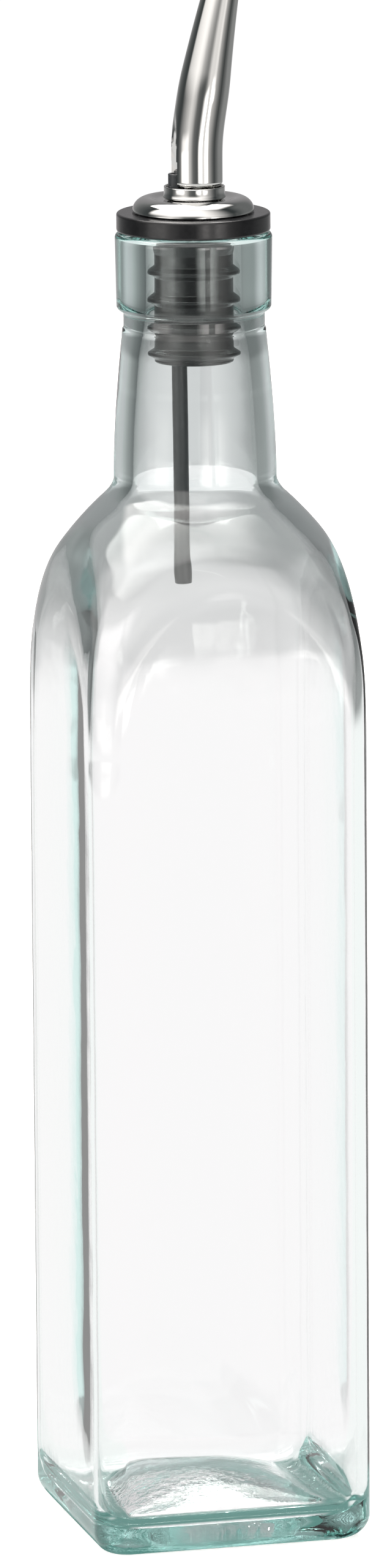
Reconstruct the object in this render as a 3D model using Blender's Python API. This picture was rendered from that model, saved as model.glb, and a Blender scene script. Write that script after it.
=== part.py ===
"""Oil and vinegar cruet: a square glass bottle with a push-in metal pourer.

The origin is the middle of the base on the surface it stands on. The flat faces of the
body look along X and Y, the spout pours towards +X and the breather tube is on its -X side.
"""

import math

import bmesh
import bpy
from mathutils import Vector

MM = 0.001

# Gap left between pieces that seat on, or slide in, one another.
CLEARANCE = 0.3 * MM

# Bottle body.
BODY_WIDTH = 57.5 * MM
BODY_CORNER_RADIUS = 5.2 * MM
HEEL_RADIUS = 5.4 * MM
BEARING_CORNER_RADIUS = 3.0 * MM
BEARING_RING_WIDTH = 3.4 * MM
PUNT_HEIGHT = 5.6 * MM
WALL = 2.8 * MM
INNER_CORNER_RADIUS = 5.0 * MM
INNER_HEEL_RADIUS = 5.0 * MM
FLOOR_THICKNESS = 5.6 * MM
FLOOR_DOME_RADIUS = 19.0 * MM
FLOOR_DOME_HEIGHT = 7.0 * MM

# Shoulder: an arc swung about the bottle's axis, cut off by the four flat faces.
SHOULDER_ARC_RADIUS = 67.8 * MM
SHOULDER_OVERRUN = 2.0 * MM
SHOULDER_BLEND = 3.0 * MM

# Neck and lip.
NECK_ROOT_HEIGHT = 213.8 * MM
NECK_ROOT_RADIUS = 16.4 * MM
NECK_ROOT_BLEND = 1.6 * MM
NECK_FLARE_HEIGHT = 31.8 * MM
NECK_COLLAR_RADIUS = 14.2 * MM
NECK_COLLAR_HEIGHT = 3.6 * MM
NECK_SEAM_STEP = 0.2 * MM
LIP_RADIUS = 15.75 * MM
LIP_HEIGHT = 15.7 * MM
LIP_EDGE_RADIUS = 1.0 * MM
LIP_BASE_DRAFT = 0.25 * MM
MOUTH_RADIUS = 9.6 * MM
MOUTH_EDGE_RADIUS = 0.9 * MM
MOUTH_STRAIGHT_LENGTH = 10.9 * MM
NECK_BORE_RADIUS = 12.5 * MM
NECK_BORE_FLARE_LENGTH = 24.0 * MM
NECK_BORE_BLEND = 3.0 * MM

# Rubber stopper.
FLANGE_RADIUS = 15.4 * MM
FLANGE_THICKNESS = 3.7 * MM
FLANGE_EDGE_RADIUS = 0.5 * MM
STOPPER_LENGTH = 26.3 * MM
STOPPER_END_RADIUS = 0.5 * MM
STOPPER_SHOULDER_HEIGHT = 4.0 * MM
STOPPER_SHOULDER_WIDTH = 1.0 * MM
RUBBER_WALL = 2.0 * MM
RIB_HEIGHT = 1.4 * MM
RIB_ROOT_THICKNESS = 2.6 * MM
RIB_TIP_THICKNESS = 1.0 * MM
RIB_COUNT = 4
FIRST_RIB_DEPTH = 7.5 * MM
LAST_RIB_RISE = 2.1 * MM

# Metal shank that the stopper is pushed on to.
SHANK_WALL = 0.4 * MM
SHANK_RECESS = 0.5 * MM

# Domed cap.
DOME_RADIUS = 12.2 * MM
DOME_RIDGE_RADIUS = 9.2 * MM
DOME_RIDGE_HEIGHT = 2.8 * MM
DOME_SEAT_RADIUS = 6.8 * MM
DOME_SEAT_HEIGHT = 2.25 * MM
DOME_THICKNESS = 0.6 * MM

# Collar that holds the spout and the breather tube side by side.
COLLAR_OFFSET = 0.25 * MM
COLLAR_WALL = 0.45 * MM
COLLAR_HEIGHT = 2.4 * MM
COLLAR_RECESS_DEPTH = 0.7 * MM
COLLAR_FOOT_FLARE = 0.2 * MM
COLLAR_FOOT_HEIGHT = 0.8 * MM
COLLAR_LIP_RADIUS = 0.15 * MM

# Breather tube.
BREATHER_RADIUS = 1.55 * MM
BREATHER_WALL = 0.45 * MM
BREATHER_DEPTH = 70.8 * MM
BREATHER_FOOT_OFFSET = 2.7 * MM
BREATHER_STUB_OFFSET = 3.55 * MM
BREATHER_STUB_HEIGHT = 2.6 * MM

# Spout.
SPOUT_RADIUS = 5.15 * MM
SPOUT_WALL = 0.5 * MM
SPIGOT_STEP = 0.35 * MM
SPIGOT_STEP_LENGTH = 0.4 * MM
SPOUT_LENGTH = 51.5 * MM
SPOUT_TAPER_START = 22.0 * MM
SPOUT_TIP_RADIUS = 2.8 * MM
SPOUT_TAPER_EASE_LENGTH = 3.0 * MM
SPOUT_BEND_START = 6.5 * MM
SPOUT_BEND_LENGTH = 10.0 * MM
SPOUT_BEND_LEAN = math.radians(8.2)
SPOUT_TIP_LEAN = math.radians(13.5)
DIMPLE_LENGTH = 14.5 * MM
DIMPLE_BLEND = 0.7 * MM

# Mesh resolution, in counts.
CORNER_STEPS = 4
FACE_STEPS = 8
SHOULDER_STEPS = 15
INNER_SHOULDER_STEPS = 12
TURNED_STEPS = 40
SPOUT_STEPS = 32
BREATHER_STEPS = 16
EDGE_STEPS = 2
FLARE_STEPS = 6
FLOOR_STEPS = 6
SPOUT_STATIONS = 18
LEAN_STEPS = 8

# Heights that follow from the sizes above.
LIP_BASE_Z = NECK_ROOT_HEIGHT + NECK_FLARE_HEIGHT + NECK_COLLAR_HEIGHT
LIP_TOP_Z = LIP_BASE_Z + LIP_HEIGHT
FLANGE_BASE_Z = LIP_TOP_Z + CLEARANCE
FLANGE_TOP_Z = FLANGE_BASE_Z + FLANGE_THICKNESS
STOPPER_END_Z = FLANGE_BASE_Z - STOPPER_LENGTH
DOME_BASE_Z = FLANGE_TOP_Z + CLEARANCE
DOME_SEAT_Z = DOME_BASE_Z + DOME_SEAT_HEIGHT
SHANK_TOP_Z = DOME_SEAT_Z - DOME_THICKNESS - CLEARANCE
SHANK_END_Z = STOPPER_END_Z + SHANK_RECESS
COLLAR_BASE_Z = DOME_SEAT_Z + CLEARANCE
COLLAR_TOP_Z = COLLAR_BASE_Z + COLLAR_HEIGHT
BREATHER_TOP_Z = COLLAR_TOP_Z + BREATHER_STUB_HEIGHT
BREATHER_END_Z = LIP_TOP_Z - BREATHER_DEPTH
SPOUT_BASE_Z = COLLAR_BASE_Z + CLEARANCE
SPIGOT_TOP_Z = COLLAR_TOP_Z + CLEARANCE

# Radii that follow from the sizes above, from the mouth inwards.
RIB_RADIUS = MOUTH_RADIUS - CLEARANCE
STOPPER_RADIUS = RIB_RADIUS - RIB_HEIGHT
STOPPER_BORE_RADIUS = STOPPER_RADIUS - RUBBER_WALL
RIB_PITCH = (STOPPER_LENGTH - FIRST_RIB_DEPTH - LAST_RIB_RISE) / (RIB_COUNT - 1)
SHANK_RADIUS = STOPPER_BORE_RADIUS - CLEARANCE
SHANK_BORE_RADIUS = SHANK_RADIUS - SHANK_WALL
BREATHER_SHANK_OFFSET = SHANK_BORE_RADIUS - CLEARANCE - BREATHER_RADIUS

# The collar is just wide enough for the breather tube, and the spout fills the rest.
COLLAR_BORE_RADIUS = BREATHER_STUB_OFFSET + BREATHER_RADIUS + CLEARANCE + COLLAR_OFFSET
COLLAR_RADIUS = COLLAR_BORE_RADIUS + COLLAR_WALL
SPIGOT_RADIUS = SPOUT_RADIUS - SPIGOT_STEP
SPOUT_OFFSET = COLLAR_OFFSET + COLLAR_BORE_RADIUS - CLEARANCE - SPIGOT_RADIUS


def clear_scene():
    for item in list(bpy.data.objects):
        bpy.data.objects.remove(item, do_unlink=True)


def finish_material(name, colour, metallic, roughness, transmission=0.0):
    """A Principled material with the piece's colour and finish."""
    material = bpy.data.materials.new(name)
    material.use_nodes = True
    shader = material.node_tree.nodes["Principled BSDF"]
    shader.inputs["Base Color"].default_value = (*colour, 1.0)
    shader.inputs["Metallic"].default_value = metallic
    shader.inputs["Roughness"].default_value = roughness
    shader.inputs["Transmission Weight"].default_value = transmission
    return material


def smooth_min(first, second, blend):
    """The smaller of two lengths, rounded where they are nearly equal."""
    if math.isinf(first) or math.isinf(second):
        return min(first, second)
    near = max(blend - abs(first - second), 0.0)
    return min(first, second) - near * near / (4.0 * blend)


def ease(share):
    """A smooth climb from 0 to 1."""
    held = min(max(share, 0.0), 1.0)
    return held * held * (3.0 - 2.0 * held)


def quarter(steps, start=0.0, end=1.0):
    """Angles of a quarter turn in even steps, between two shares of it."""
    return [math.pi / 2.0 * (start + (end - start) * i / steps) for i in range(steps + 1)]


def add_object(name, bm, material, pivot=(0.0, 0.0, 0.0)):
    """Turn a finished bmesh into a smooth-shaded object whose origin is at the pivot."""
    bmesh.ops.recalc_face_normals(bm, faces=bm.faces)
    bmesh.ops.translate(bm, verts=bm.verts, vec=-Vector(pivot))
    mesh = bpy.data.meshes.new(name)
    bm.to_mesh(mesh)
    bm.free()
    mesh.shade_smooth()
    mesh.set_sharp_from_angle(angle=math.radians(40.0))
    mesh.materials.append(material)
    item = bpy.data.objects.new(name, mesh)
    item.location = pivot
    bpy.context.scene.collection.objects.link(item)
    return item


def loft(rings, tips=None):
    """Skin a stack of rings with the same number of points.

    With two tips, the first and last rings are drawn in to those points. Without them, the
    last ring joins the first, as a tube's inner skin joins its outer one.
    """
    bm = bmesh.new()
    loops = [[bm.verts.new(point) for point in ring] for ring in rings]
    count = len(loops[0])
    pairs = list(zip(loops, loops[1:]))
    if tips is None:
        pairs.append((loops[-1], loops[0]))
    for lower, upper in pairs:
        for i in range(count):
            j = (i + 1) % count
            bm.faces.new((lower[i], lower[j], upper[j], upper[i]))
    if tips is not None:
        for loop, point in zip((loops[0], loops[-1]), tips):
            tip = bm.verts.new(point)
            for i in range(count):
                bm.faces.new((loop[i], loop[(i + 1) % count], tip))
    return bm


def middle_of(ring):
    """The mean of a ring's points."""
    return sum((Vector(point) for point in ring), Vector()) / len(ring)


def turned(profile, steps=TURNED_STEPS, centre_x=0.0):
    """Spin a closed outline of (radius, height) points about a vertical axis."""
    bm = bmesh.new()
    verts = [bm.verts.new((centre_x + radius, 0.0, height)) for radius, height in profile]
    edges = [bm.edges.new((verts[i - 1], verts[i])) for i in range(len(verts))]
    bmesh.ops.spin(
        bm,
        geom=verts + edges,
        cent=(centre_x, 0.0, 0.0),
        axis=(0.0, 0.0, 1.0),
        dvec=(0.0, 0.0, 0.0),
        angle=2.0 * math.pi,
        steps=steps,
        use_merge=True,
    )
    return bm


def square_reach(angle, half, corner):
    """Distance from the axis to a rounded square, in the direction of the angle."""
    folded = angle % (math.pi / 2.0)
    folded = min(folded, math.pi / 2.0 - folded)
    centre = half - corner
    if half * math.tan(folded) <= centre:
        return half / math.cos(folded)
    along = centre * (math.cos(folded) + math.sin(folded))
    across = centre * (math.cos(folded) - math.sin(folded))
    return along + math.sqrt(max(corner * corner - across * across, 0.0))


def body_angles():
    """Directions of a ring's points, closer together at the body's round corners."""
    half = BODY_WIDTH / 2.0
    tangent = math.atan2(half - BODY_CORNER_RADIUS, half)
    face = [tangent * i / (FACE_STEPS / 2) for i in range(FACE_STEPS // 2)]
    sweep = math.pi / 2.0 - 2.0 * tangent
    corner = [tangent + sweep * i / CORNER_STEPS for i in range(CORNER_STEPS)]
    rest = [math.pi / 2.0 - tangent + angle for angle in face]
    return [turn * math.pi / 2.0 + angle for turn in range(4) for angle in face + corner + rest]


def body_ring(angles, height, half, corner, limit=math.inf):
    """A rounded square of the body that a circle of the limit's radius cuts off."""
    ring = []
    for angle in angles:
        reach = smooth_min(square_reach(angle, half, corner), limit, SHOULDER_BLEND)
        ring.append((reach * math.cos(angle), reach * math.sin(angle), height))
    return ring


def round_ring(angles, height, radius):
    return [(radius * math.cos(angle), radius * math.sin(angle), height) for angle in angles]


def shoulder_arc():
    """Centre of the shoulder's arc, as a distance from the axis and a height."""
    half = BODY_WIDTH / 2.0
    widest = square_reach(math.pi / 4.0, half, BODY_CORNER_RADIUS) + SHOULDER_OVERRUN
    centre_x = widest - SHOULDER_ARC_RADIUS
    rise = math.sqrt(SHOULDER_ARC_RADIUS**2 - (NECK_ROOT_RADIUS - centre_x) ** 2)
    return centre_x, NECK_ROOT_HEIGHT - rise


def shoulder_radius(height, inset):
    """Radius of the turned shoulder surface, drawn in by an inset."""
    centre_x, centre_z = shoulder_arc()
    radius = SHOULDER_ARC_RADIUS - inset
    rise = height - centre_z
    if rise <= 0.0:
        return centre_x + radius - rise
    return centre_x + math.sqrt(max(radius * radius - rise * rise, 0.0))


def shoulder_heights(top, steps):
    """Heights up the shoulder, at even angles of its arc."""
    _, low = shoulder_arc()
    climb = math.asin((top - low) / SHOULDER_ARC_RADIUS)
    return [low + SHOULDER_ARC_RADIUS * math.sin(climb * i / steps) for i in range(steps + 1)]


def neck_radius(height):
    """Outside of the neck, from the ring under the lip down to the shoulder."""
    share = (NECK_ROOT_HEIGHT + NECK_FLARE_HEIGHT - height) / NECK_FLARE_HEIGHT
    top = NECK_COLLAR_RADIUS + NECK_SEAM_STEP
    return top + (NECK_ROOT_RADIUS - top) * math.sin(math.pi / 2.0 * min(share, 1.0))


def bore_radius(height):
    """Inside of the mouth and neck."""
    start = LIP_TOP_Z - MOUTH_STRAIGHT_LENGTH
    flare = ease((start - height) / NECK_BORE_FLARE_LENGTH)
    return MOUTH_RADIUS + (NECK_BORE_RADIUS - MOUTH_RADIUS) * flare


def punt_rings(angles):
    """Underside: the hollow in the middle, out to the flat ring that the bottle stands on."""
    outer = BODY_WIDTH / 2.0 - HEEL_RADIUS
    inner = outer - BEARING_RING_WIDTH
    rings = []
    for i in range(1, FLOOR_STEPS + 1):
        share = i / FLOOR_STEPS
        half = inner * share
        corner = min(half, max(half * (1.0 - share * share), BEARING_CORNER_RADIUS))
        height = PUNT_HEIGHT * (1.0 - share * share)
        rings.append(body_ring(angles, height, half, corner))
    return rings


def heel_rings(angles):
    half = BODY_WIDTH / 2.0
    rings = []
    for turn in quarter(EDGE_STEPS + 1):
        inset = HEEL_RADIUS * (1.0 - math.sin(turn))
        share = math.sin(turn)
        corner = BEARING_CORNER_RADIUS + (BODY_CORNER_RADIUS - BEARING_CORNER_RADIUS) * share
        height = HEEL_RADIUS * (1.0 - math.cos(turn))
        rings.append(body_ring(angles, height, half - inset, corner))
    return rings


def shoulder_rings(angles):
    """Outside of the shoulder, closer together towards the neck."""
    half = BODY_WIDTH / 2.0
    rings = []
    for height in shoulder_heights(NECK_ROOT_HEIGHT - NECK_ROOT_BLEND, SHOULDER_STEPS):
        limit = shoulder_radius(height, 0.0)
        rings.append(body_ring(angles, height, half, BODY_CORNER_RADIUS, limit))
    return rings


def neck_rings(angles):
    """Outside of the neck, up to the seam under the lip."""
    low = NECK_ROOT_HEIGHT + NECK_ROOT_BLEND
    high = NECK_ROOT_HEIGHT + NECK_FLARE_HEIGHT
    rings = []
    for i in range(FLARE_STEPS + 1):
        height = low + (high - low) * i / FLARE_STEPS
        rings.append(round_ring(angles, height, neck_radius(height)))
    return rings


def lip_rings(angles):
    """The straight ring under the lip, the lip and its rounded edges, into the mouth."""
    seam = NECK_ROOT_HEIGHT + NECK_FLARE_HEIGHT
    low_radius = LIP_RADIUS - LIP_BASE_DRAFT
    outline = [(NECK_COLLAR_RADIUS, seam + NECK_SEAM_STEP), (NECK_COLLAR_RADIUS, LIP_BASE_Z)]
    for turn in quarter(EDGE_STEPS):
        radius = low_radius - LIP_EDGE_RADIUS * (1.0 - math.sin(turn))
        outline.append((radius, LIP_BASE_Z + LIP_EDGE_RADIUS * (1.0 - math.cos(turn))))
    for turn in quarter(EDGE_STEPS):
        radius = LIP_RADIUS - LIP_EDGE_RADIUS * (1.0 - math.cos(turn))
        outline.append((radius, LIP_TOP_Z - LIP_EDGE_RADIUS * (1.0 - math.sin(turn))))
    for turn in quarter(EDGE_STEPS):
        radius = MOUTH_RADIUS + MOUTH_EDGE_RADIUS * (1.0 - math.sin(turn))
        outline.append((radius, LIP_TOP_Z - MOUTH_EDGE_RADIUS * (1.0 - math.cos(turn))))
    return [round_ring(angles, height, radius) for radius, height in outline]


def bore_rings(angles):
    """Inside of the neck, down to where it opens into the shoulder."""
    high = LIP_TOP_Z - MOUTH_STRAIGHT_LENGTH
    low = NECK_ROOT_HEIGHT + NECK_BORE_BLEND
    rings = []
    for i in range(FLARE_STEPS + 1):
        height = high - (high - low) * i / FLARE_STEPS
        rings.append(round_ring(angles, height, bore_radius(height)))
    return rings


def inner_shoulder_rings(angles):
    half = BODY_WIDTH / 2.0 - WALL
    rings = []
    for height in reversed(shoulder_heights(NECK_ROOT_HEIGHT, INNER_SHOULDER_STEPS)):
        arc = shoulder_radius(height, WALL)
        limit = -smooth_min(-arc, -bore_radius(height), NECK_BORE_BLEND)
        rings.append(body_ring(angles, height, half, INNER_CORNER_RADIUS, limit))
    return rings


def floor_rings(angles):
    """Inside of the bottle: the round heel, then the pushed-up floor to its middle."""
    half = BODY_WIDTH / 2.0 - WALL
    rings = []
    for turn in quarter(EDGE_STEPS + 1):
        inset = INNER_HEEL_RADIUS * (1.0 - math.cos(turn))
        height = FLOOR_THICKNESS + INNER_HEEL_RADIUS * (1.0 - math.sin(turn))
        corner = max(INNER_CORNER_RADIUS - inset / 2.0, BEARING_CORNER_RADIUS)
        rings.append(body_ring(angles, height, half - inset, corner))
    dome = min(FLOOR_DOME_RADIUS, half - INNER_HEEL_RADIUS)
    for i in range(FLOOR_STEPS):
        share = 1.0 - i / FLOOR_STEPS
        lift = FLOOR_DOME_HEIGHT * 0.5 * (1.0 + math.cos(math.pi * share))
        rings.append(round_ring(angles, FLOOR_THICKNESS + lift, dome * share))
    return rings


def make_bottle():
    angles = body_angles()
    rings = punt_rings(angles) + heel_rings(angles) + shoulder_rings(angles)
    rings += neck_rings(angles) + lip_rings(angles) + bore_rings(angles)
    rings += inner_shoulder_rings(angles) + floor_rings(angles)
    tips = [(0.0, 0.0, PUNT_HEIGHT), (0.0, 0.0, FLOOR_THICKNESS + FLOOR_DOME_HEIGHT)]
    glass = finish_material("pale_green_glass", (0.86, 0.93, 0.90), 0.0, 0.03, 0.9)
    return add_object("glass_bottle", loft(rings, tips), glass)


def rib_outline(height):
    """Outer side of one rib, top to bottom, at the height of its middle."""
    root = RIB_ROOT_THICKNESS / 2.0
    tip = RIB_TIP_THICKNESS / 2.0
    round_in = tip * (1.0 - math.cos(math.pi / 4.0))
    return [
        (STOPPER_RADIUS, height + root),
        (RIB_RADIUS - tip, height + tip),
        (RIB_RADIUS - round_in, height + tip * math.sin(math.pi / 4.0)),
        (RIB_RADIUS, height),
        (RIB_RADIUS - round_in, height - tip * math.sin(math.pi / 4.0)),
        (RIB_RADIUS - tip, height - tip),
        (STOPPER_RADIUS, height - root),
    ]


def make_stopper():
    outline = [(STOPPER_BORE_RADIUS, FLANGE_TOP_Z)]
    for turn in quarter(EDGE_STEPS):
        radius = FLANGE_RADIUS - FLANGE_EDGE_RADIUS * (1.0 - math.sin(turn))
        outline.append((radius, FLANGE_TOP_Z - FLANGE_EDGE_RADIUS * (1.0 - math.cos(turn))))
    for turn in quarter(EDGE_STEPS):
        radius = FLANGE_RADIUS - FLANGE_EDGE_RADIUS * (1.0 - math.cos(turn))
        outline.append((radius, FLANGE_BASE_Z + FLANGE_EDGE_RADIUS * (1.0 - math.sin(turn))))
    outline.append((STOPPER_RADIUS + STOPPER_SHOULDER_WIDTH, FLANGE_BASE_Z))
    outline.append((STOPPER_RADIUS, FLANGE_BASE_Z - STOPPER_SHOULDER_HEIGHT))
    for i in range(RIB_COUNT):
        outline += rib_outline(FLANGE_BASE_Z - FIRST_RIB_DEPTH - i * RIB_PITCH)
    for turn in quarter(EDGE_STEPS):
        radius = STOPPER_RADIUS - STOPPER_END_RADIUS * (1.0 - math.cos(turn))
        outline.append((radius, STOPPER_END_Z + STOPPER_END_RADIUS * (1.0 - math.sin(turn))))
    outline.append((STOPPER_BORE_RADIUS, STOPPER_END_Z))
    rubber = finish_material("black_rubber", (0.03, 0.03, 0.032), 0.0, 0.45)
    return add_object("rubber_stopper", turned(outline), rubber, (0.0, 0.0, FLANGE_BASE_Z))


def make_shank():
    outline = [
        (SHANK_BORE_RADIUS, SHANK_TOP_Z),
        (SHANK_RADIUS, SHANK_TOP_Z),
        (SHANK_RADIUS, SHANK_END_Z),
        (SHANK_BORE_RADIUS, SHANK_END_Z),
    ]
    steel = finish_material("shank_steel", (0.62, 0.62, 0.61), 1.0, 0.3)
    return add_object("stopper_shank", turned(outline), steel, (0.0, 0.0, DOME_BASE_Z))


def breather_x(height):
    """Where the breather tube's middle is, on the -X side: leaning in the shank, then upright."""
    lean = (height - BREATHER_END_Z) / (SHANK_TOP_Z - BREATHER_END_Z)
    if lean <= 1.0:
        return -(BREATHER_FOOT_OFFSET + (BREATHER_SHANK_OFFSET - BREATHER_FOOT_OFFSET) * lean)
    jog = ease((height - SHANK_TOP_Z) / (COLLAR_TOP_Z - SHANK_TOP_Z))
    return -(BREATHER_SHANK_OFFSET + (BREATHER_STUB_OFFSET - BREATHER_SHANK_OFFSET) * jog)


def breather_heights():
    jog = COLLAR_TOP_Z - SHANK_TOP_Z
    lower = [BREATHER_END_Z, SHANK_END_Z, SHANK_TOP_Z]
    return lower + [SHANK_TOP_Z + jog * i / LEAN_STEPS for i in range(1, LEAN_STEPS + 1)]


def breather_ring(height, radius):
    ring = []
    for i in range(BREATHER_STEPS):
        angle = 2.0 * math.pi * i / BREATHER_STEPS
        ring.append((breather_x(height) + radius * math.cos(angle), radius * math.sin(angle), height))
    return ring


def make_breather():
    heights = breather_heights() + [BREATHER_TOP_Z]
    bore = BREATHER_RADIUS - BREATHER_WALL
    rings = [breather_ring(height, BREATHER_RADIUS) for height in heights]
    rings += [breather_ring(height, bore) for height in reversed(heights)]
    grey = finish_material("breather_grey", (0.10, 0.11, 0.12), 0.0, 0.35)
    return add_object("breather_tube", loft(rings), grey, (0.0, 0.0, DOME_BASE_Z))


def dome_outline(inset):
    """The dome from its hole out to its rim, drawn in by the sheet's thickness or not at all."""
    ridge = DOME_RIDGE_HEIGHT - inset
    seat = DOME_SEAT_HEIGHT - inset
    hole = -breather_x(DOME_SEAT_Z) + BREATHER_RADIUS + CLEARANCE
    outline = [(hole, DOME_BASE_Z + seat)]
    for i in range(FLARE_STEPS):
        share = i / FLARE_STEPS
        radius = DOME_SEAT_RADIUS + (DOME_RIDGE_RADIUS - DOME_SEAT_RADIUS) * share
        outline.append((radius, DOME_BASE_Z + seat + (ridge - seat) * ease(share)))
    for turn in quarter(FLARE_STEPS):
        radius = DOME_RIDGE_RADIUS + (DOME_RADIUS - inset - DOME_RIDGE_RADIUS) * math.sin(turn)
        outline.append((radius, DOME_BASE_Z + ridge * math.cos(turn)))
    return outline


def make_dome():
    outline = dome_outline(0.0) + dome_outline(DOME_THICKNESS)[::-1]
    chrome = finish_material("dome_chrome", (0.80, 0.80, 0.79), 1.0, 0.12)
    return add_object("dome_cap", turned(outline), chrome, (0.0, 0.0, DOME_BASE_Z))


def spout_lean(length):
    """How far the spout leans to +X, along its own length."""
    first = ease((length - SPOUT_BEND_START) / SPOUT_BEND_LENGTH)
    rest = max(length - SPOUT_BEND_START - SPOUT_BEND_LENGTH / 2.0, 0.0)
    span = SPOUT_LENGTH - SPOUT_BEND_START - SPOUT_BEND_LENGTH / 2.0
    return SPOUT_BEND_LEAN * first + (SPOUT_TIP_LEAN - SPOUT_BEND_LEAN) * rest / span


def spout_place(length):
    """A point on the spout's middle line, summed in short steps from its foot."""
    point = Vector((SPOUT_OFFSET, 0.0, SPOUT_BASE_Z))
    step = length / (4 * LEAN_STEPS)
    for i in range(4 * LEAN_STEPS):
        lean = spout_lean((i + 0.5) * step)
        point += Vector((math.sin(lean), 0.0, math.cos(lean))) * step
    return point


def spout_radius(length):
    """Outside of the spout: a spigot, the full tube, then an even taper to the tip."""
    spigot = SPIGOT_TOP_Z - SPOUT_BASE_Z
    if length <= spigot + SPIGOT_STEP_LENGTH:
        return SPIGOT_RADIUS + SPIGOT_STEP * ease((length - spigot) / SPIGOT_STEP_LENGTH)
    fall = (SPOUT_RADIUS - SPOUT_TIP_RADIUS) / (SPOUT_LENGTH - SPOUT_TAPER_START)
    tapered = SPOUT_RADIUS - fall * (length - SPOUT_TAPER_START)
    return smooth_min(SPOUT_RADIUS, tapered, fall * SPOUT_TAPER_EASE_LENGTH)


def dimple_x(height):
    """Middle of the rod shape pressed into the spout: beside the breather, then leaning away."""
    level = BREATHER_TOP_Z
    if height <= level:
        return breather_x(height)
    rise = (height - level) / (DIMPLE_LENGTH - (level - SPIGOT_TOP_Z))
    far = SPOUT_RADIUS + BREATHER_RADIUS + CLEARANCE - SPOUT_OFFSET
    return -(BREATHER_STUB_OFFSET + (far - BREATHER_STUB_OFFSET) * rise)


def pressed_reach(angle, reach, middle, height, margin):
    """The tube's reach at an angle, less what the pressed-in dimple takes away."""
    rod = BREATHER_RADIUS + CLEARANCE + margin
    apart = middle - dimple_x(height)
    turn = angle - math.pi
    side = apart * math.sin(turn)
    if math.cos(turn) <= 0.0 or apart <= 0.0 or abs(side) >= rod:
        return reach
    hit = apart * math.cos(turn) - math.sqrt(rod * rod - side * side)
    return smooth_min(reach, hit, DIMPLE_BLEND)


def spout_ring(length, inset, margin):
    """One ring of the spout, square to its middle line."""
    middle = spout_place(length)
    lean = spout_lean(length)
    along_x = Vector((math.cos(lean), 0.0, -math.sin(lean)))
    ring = []
    for i in range(SPOUT_STEPS):
        angle = 2.0 * math.pi * i / SPOUT_STEPS
        reach = spout_radius(length) - inset
        reach = pressed_reach(angle, reach, middle.x, middle.z, margin)
        across = Vector((0.0, math.sin(angle), 0.0)) * reach
        ring.append(middle + along_x * (math.cos(angle) * reach) + across)
    return ring


def spout_lengths():
    """Places of the spout's rings: at its spigot and step, then evenly to the tip."""
    spigot = SPIGOT_TOP_Z - SPOUT_BASE_Z
    start = spigot + SPIGOT_STEP_LENGTH
    lengths = [0.0, spigot, spigot + SPIGOT_STEP_LENGTH / 2.0]
    span = SPOUT_LENGTH - start
    return lengths + [start + span * i / SPOUT_STATIONS for i in range(SPOUT_STATIONS + 1)]


def make_spout():
    lengths = spout_lengths()
    rings = [spout_ring(length, 0.0, 0.0) for length in lengths]
    rings += [spout_ring(length, SPOUT_WALL, SPOUT_WALL) for length in reversed(lengths)]
    steel = finish_material("spout_steel", (0.78, 0.78, 0.76), 1.0, 0.1)
    return add_object("pour_spout", loft(rings), steel, (0.0, 0.0, DOME_BASE_Z))


def collar_cutter(name, rings):
    """A hidden solid that cuts its shape out of the collar."""
    bm = loft(rings, [middle_of(rings[0]), middle_of(rings[-1])])
    bmesh.ops.recalc_face_normals(bm, faces=bm.faces)
    mesh = bpy.data.meshes.new(name)
    bm.to_mesh(mesh)
    bm.free()
    cutter = bpy.data.objects.new(name, mesh)
    cutter.display_type = "WIRE"
    cutter.hide_render = True
    bpy.context.scene.collection.objects.link(cutter)
    return cutter


def spigot_cutter():
    """The spigot and the clearance round it, longer than the collar at both ends."""
    low = COLLAR_BASE_Z - COLLAR_HEIGHT
    high = COLLAR_TOP_Z + COLLAR_HEIGHT
    rings = []
    for height in (low, high):
        ring = []
        for i in range(SPOUT_STEPS):
            angle = 2.0 * math.pi * i / SPOUT_STEPS
            reach = SPIGOT_RADIUS + CLEARANCE
            reach = pressed_reach(angle, reach, SPOUT_OFFSET, COLLAR_TOP_Z, -2.0 * CLEARANCE)
            ring.append((SPOUT_OFFSET + reach * math.cos(angle), reach * math.sin(angle), height))
        rings.append(ring)
    return collar_cutter("spigot_cutter", rings)


def breather_cutter():
    """The breather tube and the clearance round it, through the collar."""
    below = breather_ring(COLLAR_BASE_Z, BREATHER_RADIUS + CLEARANCE)
    above = breather_ring(COLLAR_TOP_Z, BREATHER_RADIUS + CLEARANCE)
    low = [(x, y, COLLAR_BASE_Z - COLLAR_HEIGHT) for x, y, _ in below]
    high = [(x, y, COLLAR_TOP_Z + COLLAR_HEIGHT) for x, y, _ in above]
    return collar_cutter("breather_cutter", [low, below, above, high])


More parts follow.
